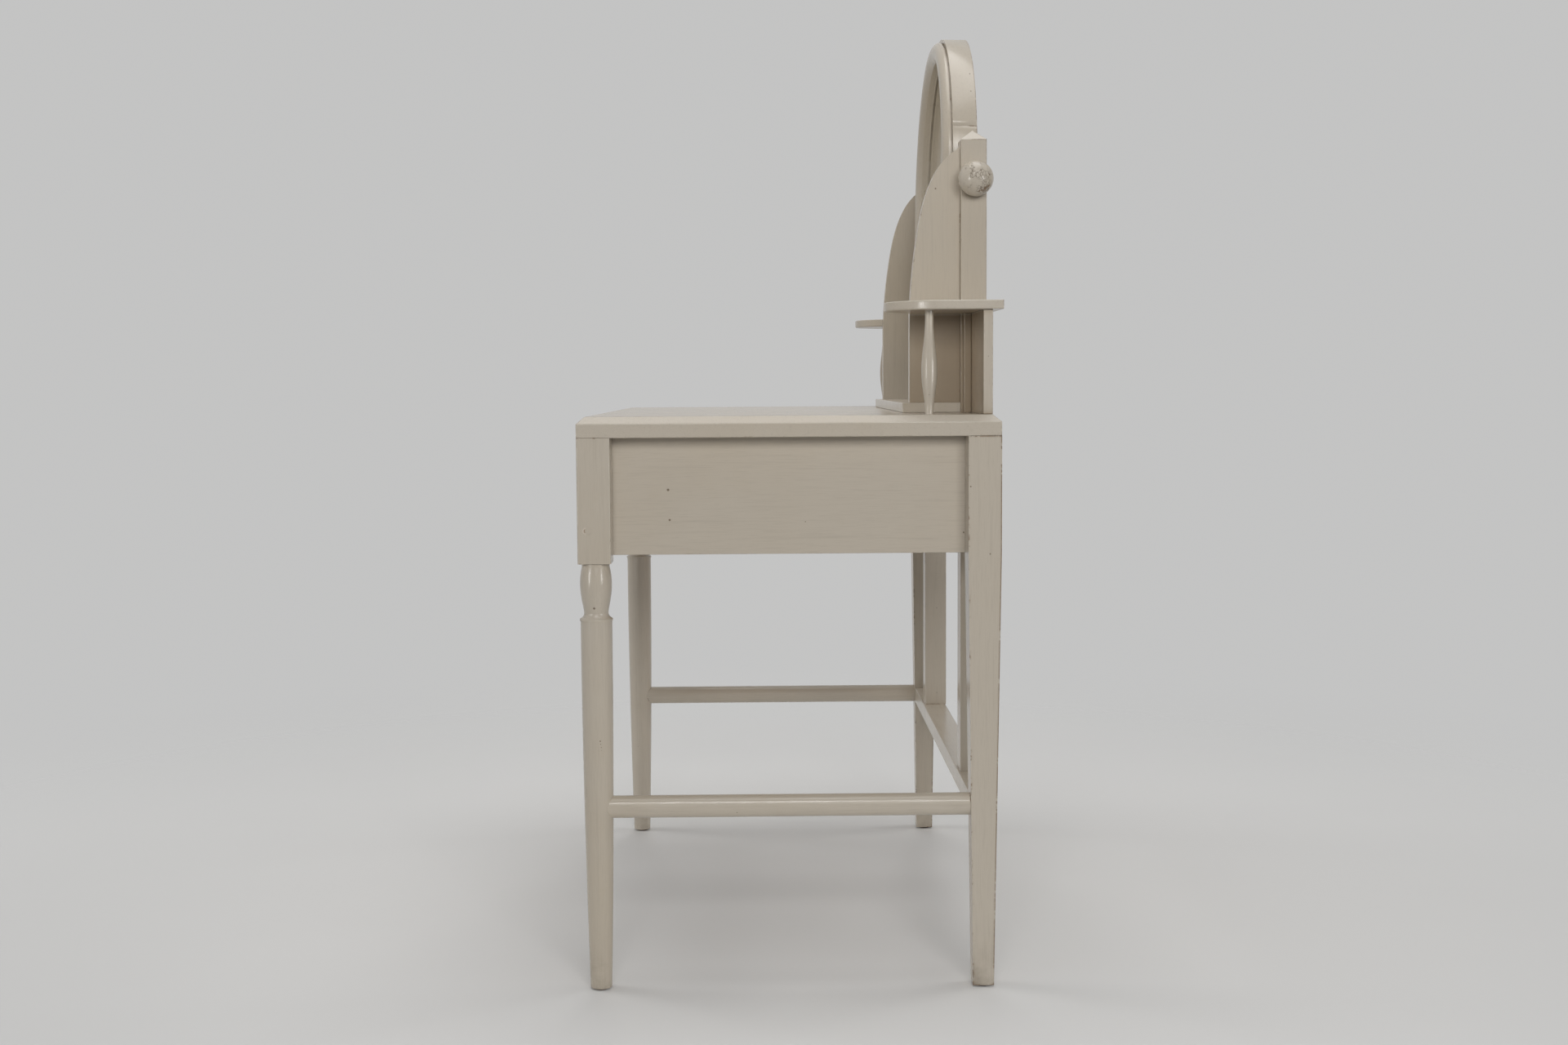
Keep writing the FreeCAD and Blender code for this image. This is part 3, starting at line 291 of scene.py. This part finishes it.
def paint(name, grain, wear=1.0, bay_shade_share=0.0):
    """Old cream paint over wood: brush lines, yellowing, grime and painted shade in corners, painted shade
    in the end bays, chips on edges, specks.
    """
    g = Graph(bpy.data.materials.new(name))
    coords = g.coordinates()
    x, y, z = g.axes(coords)
    drawn_out = g.scaled(coords, stretch(grain, FIBRE_PULL))
    brush = g.noise(drawn_out, scale=900, detail=3, roughness=0.62)
    streak = g.noise(drawn_out, scale=210, detail=2, roughness=0.5)
    broad = g.noise(coords, scale=3.2, detail=3, roughness=0.55)
    patch = g.noise(coords, scale=26, detail=4, roughness=0.6)
    fine = g.noise(coords, scale=420, detail=3, roughness=0.6)
    breaks = g.noise(coords, scale=170, detail=4, roughness=0.65)
    ripple = g.noise(coords, scale=55, detail=2, roughness=0.5)

    colour = g.tint(CREAM, YELLOWED, broad, start=0.38, full=0.70, share=0.40)
    colour = g.tint(colour, BRUSHED, brush, start=0.48, full=0.74, share=0.40)
    colour = g.tint(colour, BRUSHED, streak, start=0.54, full=0.78, share=0.30)
    colour = g.tint(colour, YELLOWED, patch, start=0.56, full=0.82, share=0.18)
    # Painted shade in the corners of the end bays, darker and warmer where little sky is open
    if bay_shade_share:
        colour = g.mix(colour, BAY_PAINTED_SHADE, bay_painted_shade_mask(g, x, z), share=bay_shade_share)
    # Grime and painted shade in corners and joints, darker where little sky is open within reach
    grime_and_shade = g.times(g.crevices(GRIME_AND_SHADE_REACH), g.ramp(patch, start=0.15, full=0.65))
    near_floor = g.times(g.ramp(z, start=FLOOR_GRIME_TOP, full=0.0), g.ramp(patch, start=0.35, full=0.75))
    colour = g.mix(colour, GRIME_AND_SHADE, grime_and_shade, share=0.40)
    colour = g.mix(colour, GRIME_AND_SHADE, near_floor, share=0.45)

    edge = g.edges(EDGE_WEAR * wear)
    most_worn = g.math("MAXIMUM", g.ramp(y, *REAR_WEAR), g.times(g.ramp(y, *FRONT_WEAR), FRONT_SHARE))
    chipping = g.weighted((breaks, 0.9), (most_worn, 0.24), (wear - 1, 0.10), base=patch)
    chip = g.times(edge, g.ramp(chipping, start=1.10, full=1.17))
    colour = g.mix(colour, YELLOWED, g.times(edge, g.ramp(fine, start=0.35, full=0.7)), share=0.20)
    dots = g.specks(coords, scale=30, radius=0.0014, kept=0.16)
    flecks = g.specks(coords, scale=95, radius=0.0007, kept=0.12)
    for place, radius in MARKS[grain]:
        dots = g.math("MAXIMUM", dots, g.spot(coords, place, radius))
    colour = g.mix(colour, SPECK, g.math("MAXIMUM", dots, flecks), share=0.80)
    for place, radius in KNOCKS.get(grain, ()):
        colour = g.mix(colour, FRESH, g.spot(coords, place, radius), share=0.80)
        colour = g.mix(colour, CHIP_PALE, g.spot(coords, place, KNOCK_MIDDLE * radius), share=0.75)
    colour = g.mix(colour, bared(g, fine), chip)

    lost_gloss = g.math("MAXIMUM", chip, grime_and_shade)
    roughness = g.weighted((g.ramp(patch, start=0.25, full=0.8), 0.05), (lost_gloss, 0.35), base=0.19)
    relief = g.weighted((brush, 0.55), (streak, 0.9), (ripple, 0.9), (chip, -2.2), (dots, -0.8))
    return g.surface({"Base Color": colour, "Roughness": roughness, "Normal": g.bump(relief, BRUSH_RELIEF)})


def worn_knob_paint(name):
    """Handled cream paint: fine cracks, rubbed patches and bare wood where it has flaked."""
    g = Graph(bpy.data.materials.new(name))
    coords = g.coordinates()
    patch = g.noise(coords, scale=62, detail=4, roughness=0.62)
    fine = g.noise(coords, scale=420, detail=3, roughness=0.6)
    rub = g.noise(coords, scale=38, detail=3, roughness=0.5)
    crazed = g.drifted(coords, scale=160, reach=KNOB_CRACK_DRIFT)
    network = g.texture("ShaderNodeTexVoronoi", crazed, {"Scale": 230},
                        feature="DISTANCE_TO_EDGE")["Distance"]

    # The left knob wears as the right one does
    low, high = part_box("mirror_knob_right")
    middle = Vector((high.x, (low.y + high.y) / 2, (low.z + high.z) / 2))
    as_on_right = g.vector("ABSOLUTE", coords)["Vector"]
    gripped = g.spot(as_on_right, middle + Vector(KNOB_WEAR_OFFSET), KNOB_WEAR_RADIUS)
    worn = g.weighted((gripped, 0.16), base=patch)
    crack = g.times(g.ramp(network, start=0.085, full=0.020), g.ramp(worn, start=0.53, full=0.66))
    flake = g.times(g.ramp(worn, start=0.715, full=0.75), g.ramp(fine, start=0.42, full=0.54))

    colour = g.tint(CREAM, YELLOWED, rub, start=0.45, full=0.7, share=0.7)
    colour = g.tint(colour, BRUSHED, fine, start=0.45, full=0.8, share=0.3)
    colour = g.mix(colour, GRIME_AND_SHADE, crack, share=0.75)
    colour = g.mix(colour, bared(g, fine), flake)
    colour = g.mix(colour, SPECK, g.specks(coords, scale=150, radius=0.0007, kept=0.3), share=0.8)
    # Grime and painted shade in the knob's corners, where it meets its neck and post
    colour = g.mix(colour, GRIME_AND_SHADE, g.crevices(KNOB_GRIME_AND_SHADE_REACH), share=0.6)
    roughness = g.weighted((g.math("MAXIMUM", flake, crack), 0.3), base=0.24)
    relief = g.weighted((patch, 0.8), (crack, -0.9), (flake, -1.5))
    return g.surface({"Base Color": colour, "Roughness": roughness, "Normal": g.bump(relief, KNOB_RELIEF)})


def bare_wood(name, grain, pale):
    """Unpainted softwood with long fibres and growth rings."""
    g = Graph(bpy.data.materials.new(name))
    coords = g.coordinates()
    drawn_out = g.scaled(coords, stretch(grain, FIBRE_PULL))
    fibre = g.noise(drawn_out, scale=900, detail=4, roughness=0.65)
    tone = g.noise(drawn_out, scale=60, detail=3, roughness=0.55)
    patch = g.noise(coords, scale=9, detail=3, roughness=0.55)
    growth = {"Scale": 34.0, "Distortion": 5.0, "Detail": 2.0, "Detail Scale": 1.6}
    rings = g.texture("ShaderNodeTexWave", g.scaled(coords, stretch(grain, RING_PULL)), growth,
                      wave_type="RINGS", rings_direction=grain.upper())["Fac"]

    colour = g.tint(pale, PINE_DARK, rings, start=0.35, full=0.95, share=0.62)
    colour = g.tint(colour, PINE_DARK, fibre, start=0.45, full=0.8, share=0.45)
    colour = g.tint(colour, PINE_AGED, tone, start=0.45, full=0.75, share=0.35)
    colour = g.tint(colour, PINE_AGED, patch, start=0.5, full=0.8, share=0.25)
    # Darker in corners, by the share of open sky within reach
    colour = g.mix(colour, GRIME_AND_SHADE, g.crevices(WOOD_CORNER_DARKENING_REACH), share=0.6)
    colour = g.mix(colour, GRIME_AND_SHADE, g.specks(coords, scale=60, radius=0.0008, kept=0.12), share=0.7)
    roughness = g.weighted((fibre, 0.2), base=0.62)
    relief = g.weighted((rings, 0.5), base=fibre)
    return g.surface({"Base Color": colour, "Roughness": roughness, "Normal": g.bump(relief, WOOD_RELIEF)})


def mirror_glass(name):
    """Silvered glass with a thin haze and foxing towards its rim."""
    g = Graph(bpy.data.materials.new(name))
    coords = g.coordinates()
    x, _, z = g.axes(coords)
    low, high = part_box("mirror_glass")
    arch_centre = high.z - high.x
    rise = g.math("MAXIMUM", g.math("SUBTRACT", z, arch_centre), 0.0)
    to_side = g.math("SUBTRACT", high.x, g.length(x, rise))
    to_bottom = g.math("SUBTRACT", z, low.z)
    to_rim = g.math("MINIMUM", to_side, to_bottom)

    stain = g.noise(coords, scale=60, detail=6, roughness=0.70)
    blotch = g.weighted((g.ramp(to_rim, *RIM_STAIN), 0.07), base=stain)
    foxing = g.times(g.ramp(blotch, start=0.66, full=0.76), g.ramp(to_rim, *RIM_FOXING), FOXING_SHARE)
    dots = g.specks(coords, scale=60, radius=0.0010, kept=0.10)
    flaw = g.math("MAXIMUM", foxing, g.times(dots, GLASS_DOT_SHARE))
    film = g.noise(coords, scale=12, detail=4, roughness=0.6)
    roughness = g.weighted((g.ramp(film, start=0.4, full=0.8), 0.03), (flaw, 0.4), base=0.025)
    return g.surface({"Base Color": g.mix(SILVER, FOXED, flaw), "Metallic": 1.0, "Roughness": roughness})


def metal(name, bright, tarnish, smooth):
    """Dull metal, tarnished in patches and corners."""
    g = Graph(bpy.data.materials.new(name))
    coords = g.coordinates()
    patch = g.noise(coords, scale=180, detail=4, roughness=0.65)
    fine = g.noise(coords, scale=1200, detail=3, roughness=0.6)
    worn = g.math("MAXIMUM", g.ramp(patch, start=0.5, full=0.68), g.crevices(METAL_GRIME_REACH))
    colour = g.mix(bright, tarnish, worn, share=0.8)
    roughness = g.weighted((worn, 0.3), base=smooth)
    relief = g.bump(g.weighted((fine, 0.4), base=patch), METAL_RELIEF)
    return g.surface({"Base Color": colour, "Metallic": 0.9, "Roughness": roughness, "Normal": relief})


PAINT = {axis: paint("cream_paint_" + axis, axis) for axis in "xyz"}
PAINT_REAR = paint("cream_paint_worn_z", "z", wear=1.6)
# Cream paint with painted shade in the end bays
PAINT_BAY_SHADED = paint("cream_paint_bay_painted_shade_z", "z", bay_shade_share=0.9)
KNOB_PAINT = worn_knob_paint("handled_paint")
PINE_WOOD = {axis: bare_wood("bare_pine_" + axis, axis, PINE) for axis in "xy"}
BACK_WOOD = bare_wood("back_board_wood", "x", PINE_AGED)
GLASS = mirror_glass("old_mirror")
BRASS_METAL = metal("dull_brass", BRASS, GRIME_AND_SHADE, smooth=0.35)
STEEL_METAL = metal("dull_steel", STEEL, RUST, smooth=0.42)
GLIDE_METAL = metal("dark_glide", DARK_METAL, RUST, smooth=0.5)


def both(*names):
    return [name + side for name in names for side in ("_left", "_right")]


FINISHES = (
    (PAINT["x"], ["table_top", "back_apron", "front_top_rail", "front_bottom_rail", "rear_stretcher",
                  "plinth", "mirror_bottom_rail", "bead_bottom", "mirror_crown", "bead_arch", "rail_pegs",
                  "pivot_collars"] + both("end_shelf", "drawer_front")),
    (PAINT["y"], both("side_apron", "side_stretcher")),
    (PAINT["z"], ["drawer_divider", "bead_sides"] + both("front_leg", "baluster", "mirror_stile")),
    (PAINT_REAR, both("rear_leg")),
    (PAINT_BAY_SHADED, ["bay_battens"] + both("back_panel", "mirror_post", "side_board")),
    (KNOB_PAINT, both("mirror_knob", "drawer_knob")),
    (PINE_WOOD["y"], ["drawer_runners", "drawer_kickers", "drawer_stops"] + both("drawer_sides")),
    (PINE_WOOD["x"], ["glue_blocks"] + both("drawer_back", "drawer_bottom")),
    (BACK_WOOD, ["mirror_back_board"]),
    (GLASS, ["mirror_glass"]),
    (BRASS_METAL, ["pivot_bushes"]),
    (STEEL_METAL, ["post_screws", "back_board_pins"] + both("knob_screw")),
    (GLIDE_METAL, ["foot_glides"]),
)
for material, names in FINISHES:
    for name in names:
        for slot in nodes[name].material_slots:
            slot.material = material

# Arrises eased by hand on pieces whose solids keep sharp edges: widths in metres
EASED = {
    0.0004: ["mirror_crown"] + both("mirror_stile"),
    0.0007: ["mirror_bottom_rail"],
    0.0011: ["table_top"],
    0.0014: both("rear_leg", "side_board"),
}
EASED_SEGMENTS = 3
SHARP_ANGLE = math.radians(40)
WELD_REACH = 0.00001


def ease(piece, width):
    """Rounds the sharp edges of a piece by modifiers."""
    weld = piece.modifiers.new("weld", "WELD")
    weld.merge_threshold = WELD_REACH
    bevel = piece.modifiers.new("eased", "BEVEL")
    bevel.width = width
    bevel.segments = EASED_SEGMENTS
    bevel.limit_method = "ANGLE"
    bevel.angle_limit = SHARP_ANGLE
    bevel.harden_normals = True


for width, names in EASED.items():
    for name in names:
        ease(nodes[name], width)

# Floor, light and camera: metres from the floor under the middle of the object, and watts
FLOOR_RADIUS = 12.0
FLOOR_SEGMENTS = 96
FLOOR_FADE = (0.7, 2.4)
WORLD_LIGHT = 0.11
OBJECT_MIDDLE = (0.0, 0.0, 0.7)
MIRROR_FOOT = (0.0, 0.0, 0.8)


def floor_material():
    """Pale floor that fades into the backdrop far from the object."""
    g = Graph(bpy.data.materials.new("floor"))
    coords = g.coordinates()
    x, y, _ = g.axes(coords)
    tone = g.noise(coords, scale=1.4, detail=3, roughness=0.5)
    g.surface({"Base Color": g.mix(FLOOR, BACKDROP, tone, share=0.10), "Roughness": 0.75})
    clear = g.add("ShaderNodeBsdfTransparent").outputs[0]
    faded = g.blend(g.ramp(g.length(x, y), *FLOOR_FADE), g.shader.outputs[0], clear)
    g.feed(g.tree.nodes["Material Output"].inputs["Surface"], faded)
    return g.owner


def make_floor():
    mesh = bpy.data.meshes.new("floor")
    shape = bmesh.new()
    bmesh.ops.create_circle(shape, cap_ends=True, segments=FLOOR_SEGMENTS, radius=FLOOR_RADIUS)
    shape.to_mesh(mesh)
    shape.free()
    mesh.materials.append(floor_material())
    floor = bpy.data.objects.new("floor", mesh)
    bpy.context.scene.collection.objects.link(floor)


def make_world():
    """Dim even light, with the backdrop's colour where it is seen, mirrored or looked through to."""
    world = bpy.data.worlds.new("studio")
    bpy.context.scene.world = world
    g = Graph(world)
    seen = g.tree.nodes["Background"]
    g.feed(seen.inputs["Color"], BACKDROP)
    g.feed(seen.inputs["Strength"], 1.0)
    light = g.add("ShaderNodeBackground")
    g.feed(light.inputs["Color"], WHITE)
    g.feed(light.inputs["Strength"], WORLD_LIGHT)
    path = g.add("ShaderNodeLightPath").outputs
    shown = g.math("MAXIMUM", path["Is Camera Ray"], path["Is Transmission Ray"])
    shown = g.math("MAXIMUM", shown, path["Is Glossy Ray"])
    sky = g.blend(shown, light.outputs[0], seen.outputs[0])
    g.feed(g.tree.nodes["World Output"].inputs["Surface"], sky)


def softbox(name, place, target, size, power, lights=True, shows=True):
    """Area lamp; it may light surfaces, show as a reflection in them, or both."""
    lamp = bpy.data.lights.new(name, "AREA")
    lamp.shape = "RECTANGLE"
    lamp.size, lamp.size_y = size
    lamp.energy = power
    lamp.color = LAMP_COLOUR
    box = bpy.data.objects.new(name, lamp)
    box.location = place
    box.rotation_euler = (Vector(target) - Vector(place)).to_track_quat("-Z", "Y").to_euler()
    box.visible_diffuse = lights
    box.visible_glossy = shows
    bpy.context.scene.collection.objects.link(box)


def make_lights():
    softbox("overhead", (0.1, 0.1, 3.2), (0.0, 0.0, 0.6), size=(2.0, 2.0), power=30)
    softbox("front", (2.95, 0.2, 1.38), (0.2, 0.0, 1.0), size=(1.6, 0.7), power=37, shows=False)
    softbox("high_strip", (2.9, 0.1, 2.8), (0.4, 0.0, 0.3), size=(1.6, 0.35), power=26, lights=False)
    softbox("left_fill", (-0.7, -3.2, 1.6), OBJECT_MIDDLE, size=(1.8, 1.6), power=32, shows=False)
    softbox("right_fill", (-0.7, 3.2, 1.6), OBJECT_MIDDLE, size=(1.8, 1.6), power=26, shows=False)
    softbox("far_fill", (-3.2, 0.0, 1.5), OBJECT_MIDDLE, size=(1.8, 1.4), power=25, shows=False)
    softbox("right_strip", (2.3, 1.9, 0.85), MIRROR_FOOT, size=(0.30, 0.9), power=16, lights=False)
    softbox("left_strip", (2.3, -2.1, 0.85), MIRROR_FOOT, size=(0.30, 0.9), power=16, lights=False)


# The photograph's camera: place in metres, lens by its focal length and the frame's width in pixels
CAMERA_PLACE = Vector((2.851, -0.0316, 0.816))
FOCAL_PIXELS = 2230.0
FRAME_WIDTH = 1920.0
SENSOR = 36.0
PITCH_DOWN = math.radians(4.41)
YAW_TO_BACK = math.radians(0.80)
ROLL = math.radians(0.35)


def make_camera():
    data = bpy.data.cameras.new("camera")
    data.sensor_width = SENSOR
    data.lens = SENSOR * FOCAL_PIXELS / FRAME_WIDTH
    camera = bpy.data.objects.new("camera", data)
    forward = Vector((-math.cos(PITCH_DOWN) * math.cos(YAW_TO_BACK),
                      math.cos(PITCH_DOWN) * math.sin(YAW_TO_BACK), -math.sin(PITCH_DOWN)))
    level = forward.cross(Vector((0, 0, 1))).normalized()
    upright = level.cross(forward)
    right = level * math.cos(ROLL) - upright * math.sin(ROLL)
    up = upright * math.cos(ROLL) + level * math.sin(ROLL)
    turn = Matrix((right, up, -forward)).transposed().to_4x4()
    camera.matrix_world = Matrix.Translation(CAMERA_PLACE) @ turn
    bpy.context.scene.collection.objects.link(camera)
    bpy.context.scene.camera = camera


make_floor()
make_world()
make_lights()
make_camera()
bpy.context.scene.view_settings.view_transform = "Standard"

bpy.context.view_layer.update()
